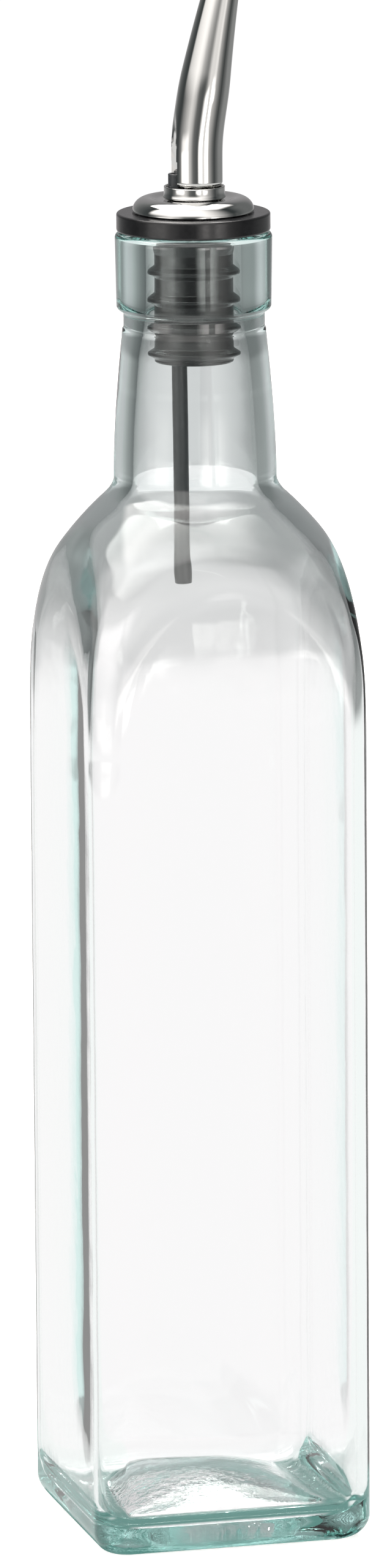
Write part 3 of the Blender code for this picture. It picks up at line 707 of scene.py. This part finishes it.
def thickness(height):
    level = height / MM
    for (high, thick), (low, thin) in zip(THICKNESS, THICKNESS[1:]):
        if level >= low:
            share = min((high - level) / (high - low), 1.0)
            return (thick + (thin - thick) * max(share, 0.0)) * MM
    return THICKNESS[-1][1] * MM


def bore_radius(height):
    widened = neck_radius(height) - thickness(height)
    drop = LIP_TOP_Z - MOUTH_STRAIGHT - height
    return MOUTH_RADIUS + (widened - MOUTH_RADIUS) * ease(drop / BORE_FLARE)


def underside_rings():
    """From the middle of the hollow out to the bearing ring and round the heel."""
    outer = HALF - HEEL
    inner = outer - BEARING_WIDTH
    rings = []
    for share in spread(1.0 / FLOOR_RINGS, 1.0, FLOOR_RINGS - 1):
        half = inner * share
        corner = min(half, max(half * (1.0 - share * share), BEARING_CORNER))
        rings.append(square_ring(PUNT_HEIGHT * (1.0 - share * share), half, corner))
    for share in spread(0.0, 1.0, BEARING_RINGS)[1:-1]:
        rings.append(square_ring(0.0, inner + BEARING_WIDTH * share, BEARING_CORNER))
    for turn in spread(0.0, QUARTER, HEEL_RINGS):
        inset = HEEL * (1.0 - math.sin(turn))
        corner = BEARING_CORNER + (CORNER - BEARING_CORNER) * math.sin(turn)
        rings.append(square_ring(HEEL * (1.0 - math.cos(turn)), HALF - inset, corner))
    return rings


def turned_outline():
    """Outside of the turned glass from the foot of the shoulder's arc up to the seam under the lip."""
    points = [(shoulder_radius(z), z) for z in spread(LEAD_Z, ARC_Z, LEAD_RINGS)[1:]]
    climb = math.asin((NECK_ROOT_Z - NECK_ROOT_BLEND - ARC_Z) / SHOULDER_ARC)
    for turn in spread(0.0, climb, ARC_RINGS)[1:]:
        z = ARC_Z + SHOULDER_ARC * math.sin(turn)
        points.append((shoulder_radius(z), z))
    last, top = points[-1]
    after = neck_radius(NECK_ROOT_Z + NECK_ROOT_BLEND)
    for share in spread(0.0, 1.0, ROOT_RINGS)[1:-1]:
        straight = last + (after - last) * share
        hollow = NECK_ROOT_HOLLOW * share * (1.0 - share)
        points.append((straight - hollow, top + 2.0 * NECK_ROOT_BLEND * share))
    points += [(neck_radius(z), z) for z in spread(NECK_ROOT_Z + NECK_ROOT_BLEND, SEAM_Z, NECK_RINGS)]
    return points


def lip_outline():
    """The collar under the lip, the lip, and the mouth's straight bore."""
    collar_top = LIP_BASE_Z - NECK_COLLAR_EDGE
    points = [(NECK_COLLAR_RADIUS, z) for z in spread(SEAM_Z + NECK_SEAM_STEP, collar_top, COLLAR_RINGS)]
    low = LIP_RADIUS - LIP_DRAFT
    for turn in spread(0.0, QUARTER, LIP_EDGE_RINGS):
        radius = low - LIP_EDGE * (1.0 - math.sin(turn))
        points.append((radius, LIP_BASE_Z + LIP_EDGE * (1.0 - math.cos(turn))))
    for share in spread(0.0, 1.0, LIP_RINGS)[1:-1]:
        z = LIP_BASE_Z + LIP_EDGE + (LIP_HEIGHT - 2.0 * LIP_EDGE) * share
        points.append((low + LIP_DRAFT * share, z))
    for turn in spread(0.0, QUARTER, LIP_EDGE_RINGS):
        radius = LIP_RADIUS - LIP_EDGE * (1.0 - math.cos(turn))
        points.append((radius, LIP_TOP_Z - LIP_EDGE * (1.0 - math.sin(turn))))
    for radius in spread(LIP_RADIUS - LIP_EDGE, MOUTH_RADIUS + MOUTH_EDGE, LIP_TOP_RINGS)[1:-1]:
        points.append((radius, LIP_TOP_Z))
    for turn in spread(0.0, QUARTER, LIP_EDGE_RINGS):
        radius = MOUTH_RADIUS + MOUTH_EDGE * (1.0 - math.sin(turn))
        points.append((radius, LIP_TOP_Z - MOUTH_EDGE * (1.0 - math.cos(turn))))
    for z in spread(LIP_TOP_Z - MOUTH_EDGE, LIP_TOP_Z - MOUTH_STRAIGHT, MOUTH_RINGS)[1:-1]:
        points.append((MOUTH_RADIUS, z))
    return points


def outside_rings():
    rings = [square_ring(z, HALF, CORNER) for z in spread(HEEL, LEAD_Z, BODY_RINGS)[1:]]
    rings += [square_ring(z, HALF, CORNER, radius) for radius, z in turned_outline()]
    return rings + [round_ring(z, radius) for radius, z in lip_outline()]


def inner_outline():
    """The outside drawn in square to itself by the glass's thickness, from the top down."""
    points = turned_outline()
    result = []
    for before, (radius, z), after in zip(points, points[1:], points[2:]):
        run = Vector((after[0] - before[0], after[1] - before[1])).normalized()
        thick = thickness(z)
        result.append((radius - run.y * thick, z + run.x * thick))
    return [point for point in reversed(result) if point[1] < SEAM_Z - BORE_JOIN_DROP]


def inside_rings():
    """From the mouth down the bore, the shoulder and the walls to the middle of the floor."""
    outline = inner_outline()
    half = HALF - WALL
    bore = spread(LIP_TOP_Z - MOUTH_STRAIGHT, outline[0][1], BORE_RINGS)[:-1]
    rings = [round_ring(z, bore_radius(z)) for z in bore]
    for radius, z in outline:
        thicker = FACE_THICKENING * ease((z - THICKENING_START) / THICKENING_LENGTH)
        ring = square_ring(z, half - thicker, INNER_CORNER, radius, inner_blend)
        swell = WALL_SWELL * ease((ARC_Z + SWELL_TOP_RISE - z) / SWELL_TOP_LENGTH)
        rings.append(swollen(ring, swell))
    bottom = FLOOR_THICKNESS + INNER_HEEL
    for z in spread(LEAD_Z, bottom, BODY_RINGS)[1:-1]:
        swell = WALL_SWELL * ease((z - bottom) / SWELL_FOOT_LENGTH)
        rings.append(swollen(square_ring(z, half, INNER_CORNER), swell))
    for turn in spread(0.0, QUARTER, HEEL_RINGS):
        inset = INNER_HEEL * (1.0 - math.cos(turn))
        height = FLOOR_THICKNESS + INNER_HEEL * (1.0 - math.sin(turn))
        corner = max(INNER_CORNER - inset / 2.0, FLOOR_CORNER)
        rings.append(square_ring(height, half - inset, corner))
    edge = half - INNER_HEEL
    for share in spread(1.0, 1.0 / FLOOR_RINGS, FLOOR_RINGS - 1)[1:]:
        lift = FLOOR_RISE * (1.0 - share**FLOOR_CURVE)
        corner = min(edge * share, max(edge * share * (1.0 - share * share), FLOOR_CORNER))
        rings.append(square_ring(FLOOR_THICKNESS + lift, edge * share, corner))
    return rings


def make_glass():
    rings = underside_rings() + outside_rings() + inside_rings()
    bm = loft(rings, (0.0, 0.0, PUNT_HEIGHT), (0.0, 0.0, FLOOR_THICKNESS + FLOOR_RISE))
    add_piece("bottle_glass", bm, glass_material(), "bottle", "glass_bottle")


# The pourer.
GAP = 0.3 * MM
FLANGE_RADIUS = 15.4 * MM
FLANGE_THICKNESS = 3.7 * MM
FLANGE_EDGE = 0.45 * MM
STOPPER_LENGTH = 26.3 * MM
STOPPER_END_EDGE = 0.5 * MM
STOPPER_CONE_HEIGHT = 4.0 * MM
STOPPER_CONE_WIDTH = 1.0 * MM
RUBBER_WALL = 2.0 * MM
RIB_HEIGHT = 1.4 * MM
RIB_ROOT = 2.6 * MM
RIB_TIP = 1.0 * MM
RIB_SOFTNESS = 0.8
RIB_COUNT = 4
FIRST_RIB_DEPTH = 7.5 * MM
LAST_RIB_RISE = 2.1 * MM
SHANK_WALL = 0.4 * MM
SHANK_EDGE = 0.1 * MM
SHANK_RECESS = 0.5 * MM
DOME_RADIUS = 12.2 * MM
RIDGE_RADIUS = 9.2 * MM
RIDGE_HEIGHT = 2.8 * MM
SEAT_RADIUS = 6.8 * MM
SEAT_HEIGHT = 2.25 * MM
DOME_SHEET = 0.6 * MM
COLLAR_OFFSET = 0.25 * MM
COLLAR_WALL = 0.45 * MM
COLLAR_HEIGHT = 2.4 * MM
COLLAR_RECESS = 0.7 * MM
COLLAR_FLARE = 0.2 * MM
COLLAR_FLARE_POWER = 4
COLLAR_FOOT = 0.4 * MM
COLLAR_LIP = 0.15 * MM
BREATHER_RADIUS = 1.55 * MM
BREATHER_WALL = 0.45 * MM
BREATHER_EDGE = 0.1 * MM
BREATHER_DEPTH = 70.8 * MM
BREATHER_FOOT = 2.7 * MM
BREATHER_STUB = 3.55 * MM
BREATHER_STUB_HEIGHT = 2.6 * MM
SPOUT_RADIUS = 5.15 * MM
SPOUT_WALL = 0.5 * MM
SPIGOT_STEP = 0.35 * MM
SPIGOT_STEP_LENGTH = 0.4 * MM
SPOUT_LENGTH = 51.5 * MM
TAPER_START = 22.0 * MM
TIP_RADIUS = 2.8 * MM
TIP_EDGE = 0.15 * MM
TIP_INSETS = (0.12 * MM, SPOUT_WALL - 0.1 * MM)
TAPER_EASE = 3.0 * MM
BEND_START = 6.5 * MM
BEND_LENGTH = 10.0 * MM
BEND_LEAN = math.radians(8.2)
TIP_LEAN = math.radians(13.5)
DIMPLE_LENGTH = 14.5 * MM
DIMPLE_BLEND = 0.7 * MM

FLANGE_BASE_Z = LIP_TOP_Z + GAP
FLANGE_TOP_Z = FLANGE_BASE_Z + FLANGE_THICKNESS
STOPPER_END_Z = FLANGE_BASE_Z - STOPPER_LENGTH
DOME_BASE_Z = FLANGE_TOP_Z + GAP
SEAT_Z = DOME_BASE_Z + SEAT_HEIGHT
SHANK_TOP_Z = SEAT_Z - DOME_SHEET - GAP
SHANK_END_Z = STOPPER_END_Z + SHANK_RECESS
COLLAR_BASE_Z = SEAT_Z + GAP
COLLAR_TOP_Z = COLLAR_BASE_Z + COLLAR_HEIGHT
BREATHER_TOP_Z = COLLAR_TOP_Z + BREATHER_STUB_HEIGHT
BREATHER_END_Z = LIP_TOP_Z - BREATHER_DEPTH
SPOUT_BASE_Z = COLLAR_BASE_Z + GAP
SPIGOT_TOP_Z = COLLAR_TOP_Z + GAP
SPIGOT_LENGTH = SPIGOT_TOP_Z - SPOUT_BASE_Z
RIB_RADIUS = MOUTH_RADIUS - GAP
STOPPER_RADIUS = RIB_RADIUS - RIB_HEIGHT
STOPPER_BORE = STOPPER_RADIUS - RUBBER_WALL
SHANK_RADIUS = STOPPER_BORE - GAP
SHANK_BORE = SHANK_RADIUS - SHANK_WALL
BREATHER_SHANK = SHANK_BORE - GAP - BREATHER_RADIUS
COLLAR_BORE = BREATHER_STUB + BREATHER_RADIUS + GAP + COLLAR_OFFSET
COLLAR_RADIUS = COLLAR_BORE + COLLAR_WALL
SPIGOT_RADIUS = SPOUT_RADIUS - SPIGOT_STEP
SPOUT_OFFSET = COLLAR_OFFSET + COLLAR_BORE - GAP - SPIGOT_RADIUS

TURNED_POINTS = 160
SPOUT_POINTS = 112
BREATHER_POINTS = 48
RIB_RINGS = 28
SLANT_RINGS = 70
JOG_RINGS = 24
STUB_RINGS = 6
HOLE_RINGS = 3
SEAT_RINGS = 14
RIM_RINGS = 28
PLACE_STEPS = 32
SPIGOT_RINGS = 4
STEP_RINGS = 6
SPOUT_RINGS = 110
RECESS_RINGS = 6
FLARE_RINGS = 14
STOPPER_GRID = 1.0 * MM
SHANK_GRID = 1.5 * MM
SHARP = 50.0
BREATHER_SHARP = 60.0
COLLAR_SHARP = 40.0
MERGE_DISTANCE = 0.0001 * MM
# How far from each end of a side of an outline a point is added, so that flat sides shade flat.
END_POINT = 0.06 * MM


def circle_angles(count):
    return [2.0 * math.pi * i / count for i in range(count)]


def circle(centre_x, radius, height, count):
    angles = circle_angles(count)
    return [(centre_x + radius * math.cos(a), radius * math.sin(a), height) for a in angles]


def filled(outline, step):
    """The closed outline with points added along its sides."""
    result = []
    for here, there in zip(outline, outline[1:] + outline[:1]):
        length = math.dist(here, there)
        if length < step / 10.0:
            continue
        count = max(round(length / step), 1)
        end = min(END_POINT / length, 0.5)
        for share in sorted({0.0, end, 1.0 - end, *(i / count for i in range(count))}):
            result.append(tuple(a + (b - a) * share for a, b in zip(here, there)))
    return result


def revolve(outline, centre_x=0.0):
    """Spin a closed outline of (radius, height) points about an upright axis."""
    rings = [circle(centre_x, radius, height, TURNED_POINTS) for radius, height in outline]
    bm, _ = skin(rings, closed=True)
    bmesh.ops.remove_doubles(bm, verts=bm.verts, dist=MERGE_DISTANCE)
    bmesh.ops.recalc_face_normals(bm, faces=bm.faces)
    return bm


def tube(rings):
    """Skin rings into a tube whose last ring joins its first."""
    bm, _ = skin(rings, closed=True)
    bmesh.ops.recalc_face_normals(bm, faces=bm.faces)
    return bm


def corner_arc(radius, height, edge, start, end, steps=5):
    """A rounded edge: an arc of the edge's size about a point, between two directions."""
    points = []
    for turn in spread(math.radians(start), math.radians(end), steps):
        points.append((radius + edge * math.cos(turn), height + edge * math.sin(turn)))
    return points


def rib_profile(height):
    """One rib, top to bottom: a cone, a round tip and a cone, with soft roots."""
    tip = RIB_TIP / 2.0
    points = []
    for share in spread(-1.0, 1.0, RIB_RINGS):
        drop = share * RIB_ROOT / 2.0
        away = abs(drop)
        if away <= tip:
            radius = RIB_RADIUS - tip + math.sqrt(max(tip * tip - away * away, 0.0))
        else:
            fall = (away - tip) / (RIB_ROOT / 2.0 - tip)
            radius = RIB_RADIUS - tip - (RIB_HEIGHT - tip) * ease(fall) ** RIB_SOFTNESS
        points.append((radius, height - drop))
    return points


def make_stopper():
    edge = FLANGE_EDGE
    outline = [(STOPPER_BORE, FLANGE_TOP_Z)]
    outline += corner_arc(FLANGE_RADIUS - edge, FLANGE_TOP_Z - edge, edge, 90.0, 0.0)
    outline += corner_arc(FLANGE_RADIUS - edge, FLANGE_BASE_Z + edge, edge, 0.0, -90.0)
    outline.append((STOPPER_RADIUS + STOPPER_CONE_WIDTH, FLANGE_BASE_Z))
    outline.append((STOPPER_RADIUS, FLANGE_BASE_Z - STOPPER_CONE_HEIGHT))
    pitch = (STOPPER_LENGTH - FIRST_RIB_DEPTH - LAST_RIB_RISE) / (RIB_COUNT - 1)
    for i in range(RIB_COUNT):
        outline += rib_profile(FLANGE_BASE_Z - FIRST_RIB_DEPTH - i * pitch)
    end = STOPPER_END_EDGE
    outline += corner_arc(STOPPER_RADIUS - end, STOPPER_END_Z + end, end, 0.0, -90.0)
    outline.append((STOPPER_BORE, STOPPER_END_Z))
    bm = revolve(filled(outline, STOPPER_GRID))
    add_piece("stopper_body", bm, rubber_material(), "stopper", "rubber_stopper", SHARP)


def make_shank():
    edge = SHANK_EDGE
    outline = corner_arc(SHANK_BORE + edge, SHANK_TOP_Z - edge, edge, 180.0, 90.0, 3)
    outline += corner_arc(SHANK_RADIUS - edge, SHANK_TOP_Z - edge, edge, 90.0, 0.0, 3)
    outline += corner_arc(SHANK_RADIUS - edge, SHANK_END_Z + edge, edge, 0.0, -90.0, 3)
    outline += corner_arc(SHANK_BORE + edge, SHANK_END_Z + edge, edge, -90.0, -180.0, 3)
    bm = revolve(filled(outline, SHANK_GRID))
    steel = metal_material("shank_steel", DULL_METAL, 0.25, grain_scale=(900, 900, 60), strength=0.3)
    add_piece("shank_tube", bm, steel, "pourer", "stopper_shank", SHARP)


def breather_x(height):
    """The tube slants from its foot to the shank's top, and then jogs over to its stub."""
    lean = (height - BREATHER_END_Z) / (SHANK_TOP_Z - BREATHER_END_Z)
    if lean <= 1.0:
        return -(BREATHER_FOOT + (BREATHER_SHANK - BREATHER_FOOT) * lean)
    jog = ease((height - SHANK_TOP_Z) / (COLLAR_TOP_Z - SHANK_TOP_Z))
    return -(BREATHER_SHANK + (BREATHER_STUB - BREATHER_SHANK) * jog)


def make_breather():
    low, high, edge = BREATHER_END_Z, BREATHER_TOP_Z, BREATHER_EDGE
    heights = spread(low, SHANK_TOP_Z, SLANT_RINGS)
    heights += spread(SHANK_TOP_Z, COLLAR_TOP_Z, JOG_RINGS)[1:]
    heights += spread(COLLAR_TOP_Z, high, STUB_RINGS)[1:]
    outer = BREATHER_RADIUS
    profile = [(outer - edge, low), (outer, low + edge)]
    profile += [(outer, z) for z in heights[1:-1]]
    profile += [(outer, high - edge), (outer - edge, high)]
    bore = BREATHER_RADIUS - BREATHER_WALL
    profile += [(bore + edge, high), (bore, high - edge)]
    profile += [(bore, z) for z in reversed(heights[1:-1])]
    profile += [(bore, low + edge), (bore + edge, low)]
    bm = tube([circle(breather_x(z), radius, z, BREATHER_POINTS) for radius, z in profile])
    add_piece("air_tube", bm, plastic_material(), "pourer", "breather_tube", BREATHER_SHARP)


def dome_profile(inset):
    """From the hole over the seat and the ridge down to the rim."""
    ridge = RIDGE_HEIGHT - inset
    seat = SEAT_HEIGHT - inset
    hole = -breather_x(SEAT_Z) + BREATHER_RADIUS + GAP
    points = [(r, DOME_BASE_Z + seat) for r in spread(hole, SEAT_RADIUS, HOLE_RINGS)[:-1]]
    for share in spread(0.0, 1.0, SEAT_RINGS)[:-1]:
        radius = SEAT_RADIUS + (RIDGE_RADIUS - SEAT_RADIUS) * share
        points.append((radius, DOME_BASE_Z + seat + (ridge - seat) * ease(share)))
    for turn in spread(0.0, QUARTER, RIM_RINGS):
        radius = RIDGE_RADIUS + (DOME_RADIUS - inset - RIDGE_RADIUS) * math.sin(turn)
        points.append((radius, DOME_BASE_Z + ridge * math.cos(turn)))
    return points


def make_dome():
    bm = revolve(dome_profile(0.0) + dome_profile(DOME_SHEET)[::-1])
    chrome = metal_material("dome_chrome", BRIGHT_METAL, 0.05, grain_scale=(300, 300, 300), strength=0.1)
    add_piece("dome_shell", bm, chrome, "pourer", "dome_cap", SHARP)


def spout_lean(length):
    first = ease((length - BEND_START) / BEND_LENGTH)
    rest = max(length - BEND_START - BEND_LENGTH / 2.0, 0.0)
    span = SPOUT_LENGTH - BEND_START - BEND_LENGTH / 2.0
    return BEND_LEAN * first + (TIP_LEAN - BEND_LEAN) * rest / span


def spout_place(length):
    point = Vector((SPOUT_OFFSET, 0.0, SPOUT_BASE_Z))
    step = length / PLACE_STEPS
    for i in range(PLACE_STEPS):
        lean = spout_lean((i + 0.5) * step)
        point += Vector((math.sin(lean), 0.0, math.cos(lean))) * step
    return point


def spout_radius(length):
    if length <= SPIGOT_LENGTH + SPIGOT_STEP_LENGTH:
        return SPIGOT_RADIUS + SPIGOT_STEP * ease((length - SPIGOT_LENGTH) / SPIGOT_STEP_LENGTH)
    fall = (SPOUT_RADIUS - TIP_RADIUS) / (SPOUT_LENGTH - TAPER_START)
    return smooth_min(SPOUT_RADIUS, SPOUT_RADIUS - fall * (length - TAPER_START), fall * TAPER_EASE)


def dimple_x(height):
    """Where the breather tube would run if the dimple went on up the spout in a straight line."""
    if height <= BREATHER_TOP_Z:
        return breather_x(height)
    rise = (height - BREATHER_TOP_Z) / (DIMPLE_LENGTH - (BREATHER_TOP_Z - SPIGOT_TOP_Z))
    far = SPOUT_RADIUS + BREATHER_RADIUS + GAP - SPOUT_OFFSET
    return -(BREATHER_STUB + (far - BREATHER_STUB) * rise)


def pressed_reach(angle, reach, centre_x, height, margin):
    """The reach, held back where the breather tube presses its dimple into the spout."""
    rod = BREATHER_RADIUS + GAP + margin
    apart = centre_x - dimple_x(height)
    turn = angle - math.pi
    side = apart * math.sin(turn)
    if math.cos(turn) <= 0.0 or apart <= 0.0 or abs(side) >= rod:
        return reach
    hit = apart * math.cos(turn) - math.sqrt(rod * rod - side * side)
    return smooth_min(reach, hit, DIMPLE_BLEND)


def spout_ring(length, inset, margin):
    middle = spout_place(length)
    lean = spout_lean(length)
    along_x = Vector((math.cos(lean), 0.0, -math.sin(lean)))
    radius = spout_radius(length) - inset
    ring = []
    for angle in circle_angles(SPOUT_POINTS):
        reach = pressed_reach(angle, radius, middle.x, middle.z, margin)
        along_y = Vector((0.0, math.sin(angle) * reach, 0.0))
        ring.append(middle + along_x * (math.cos(angle) * reach) + along_y)
    return ring


def make_spout():
    stepped = SPIGOT_LENGTH + SPIGOT_STEP_LENGTH
    lengths = spread(0.0, SPIGOT_LENGTH, SPIGOT_RINGS)
    lengths += spread(SPIGOT_LENGTH, stepped, STEP_RINGS)[1:]
    lengths += spread(stepped, SPOUT_LENGTH - TIP_EDGE, SPOUT_RINGS)[1:]
    rings = [spout_ring(length, 0.0, 0.0) for length in lengths]
    rings += [spout_ring(SPOUT_LENGTH, inset, 0.0) for inset in TIP_INSETS]
    rings += [spout_ring(length, SPOUT_WALL, SPOUT_WALL) for length in reversed(lengths)]
    steel = metal_material("spout_steel", BRIGHT_METAL, 0.035, grain_scale=(900, 900, 40), strength=0.1)
    add_piece("spout_pipe", tube(rings), steel, "pourer", "pour_spout", SHARP)


def ring_middle(ring):
    return sum((Vector(point) for point in ring), Vector()) / len(ring)


def cutter(rings):
    bm = loft(rings, ring_middle(rings[0]), ring_middle(rings[-1]))
    mesh = bpy.data.meshes.new("cutter")
    bm.to_mesh(mesh)
    bm.free()
    item = bpy.data.objects.new("cutter", mesh)
    bpy.context.scene.collection.objects.link(item)
    return item


def collar_cutters():
    """The room for the spout's spigot and for the breather tube, past both faces of the collar."""
    low, high = COLLAR_BASE_Z - COLLAR_HEIGHT, COLLAR_TOP_Z + COLLAR_HEIGHT
    spigot = []
    for height in (low, high):
        ring = []
        for angle in circle_angles(SPOUT_POINTS):
            reach = pressed_reach(angle, SPIGOT_RADIUS + GAP, SPOUT_OFFSET, COLLAR_TOP_Z, -2.0 * GAP)
            ring.append((SPOUT_OFFSET + reach * math.cos(angle), reach * math.sin(angle), height))
        spigot.append(ring)
    breather = []
    for level, heights in ((COLLAR_BASE_Z, (low, COLLAR_BASE_Z)), (COLLAR_TOP_Z, (COLLAR_TOP_Z, high))):
        for height in heights:
            breather.append(circle(breather_x(level), BREATHER_RADIUS + GAP, height, BREATHER_POINTS))
    return [cutter(spigot), cutter(breather)]


def make_collar():
    foot = COLLAR_RADIUS + COLLAR_FLARE
    floor = COLLAR_TOP_Z - COLLAR_RECESS
    lip = COLLAR_LIP
    outline = [(r, floor) for r in spread(0.0, COLLAR_BORE, RECESS_RINGS)]
    outline += corner_arc(COLLAR_BORE + lip, COLLAR_TOP_Z - lip, lip, 180.0, 90.0, 4)
    outline += corner_arc(COLLAR_RADIUS - lip, COLLAR_TOP_Z - lip, lip, 90.0, 0.0, 4)
    for share in spread(0.0, 1.0, FLARE_RINGS)[1:]:
        height = COLLAR_TOP_Z - lip - (COLLAR_HEIGHT - lip - COLLAR_FOOT) * share
        outline.append((COLLAR_RADIUS + (foot - COLLAR_RADIUS) * share**COLLAR_FLARE_POWER, height))
    outline.append((foot, COLLAR_BASE_Z + COLLAR_FOOT / 2.0))
    outline += [(COLLAR_RADIUS, COLLAR_BASE_Z), (0.0, COLLAR_BASE_Z)]
    bm = revolve(outline, COLLAR_OFFSET)
    chrome = metal_material("collar_chrome", BRIGHT_METAL, 0.06, grain_scale=(400, 400, 400), strength=0.1)
    collar = add_piece("collar_cup", bm, chrome, "pourer", "spout_collar")
    cutters = collar_cutters()
    for item in cutters:
        cut = collar.modifiers.new("cut", "BOOLEAN")
        cut.operation, cut.object, cut.solver = "DIFFERENCE", item, "EXACT"
    bpy.context.view_layer.update()
    finished = collar.evaluated_get(bpy.context.evaluated_depsgraph_get())
    mesh = bpy.data.meshes.new_from_object(finished)
    collar.modifiers.clear()
    collar.data = mesh
    mesh.shade_smooth()
    mesh.set_sharp_from_angle(angle=math.radians(COLLAR_SHARP))
    for item in cutters:
        bpy.data.objects.remove(item, do_unlink=True)


make_camera()
make_world()
make_floor()

make_glass()
make_stopper()
make_shank()
make_dome()
make_collar()
make_spout()
make_breather()

scene = bpy.context.scene
scene.view_settings.view_transform = "Standard"
scene.view_settings.look = "None"
scene.cycles.max_bounces = LIGHT_BOUNCES
scene.cycles.transmission_bounces = LIGHT_BOUNCES
scene.cycles.glossy_bounces = GLOSSY_BOUNCES
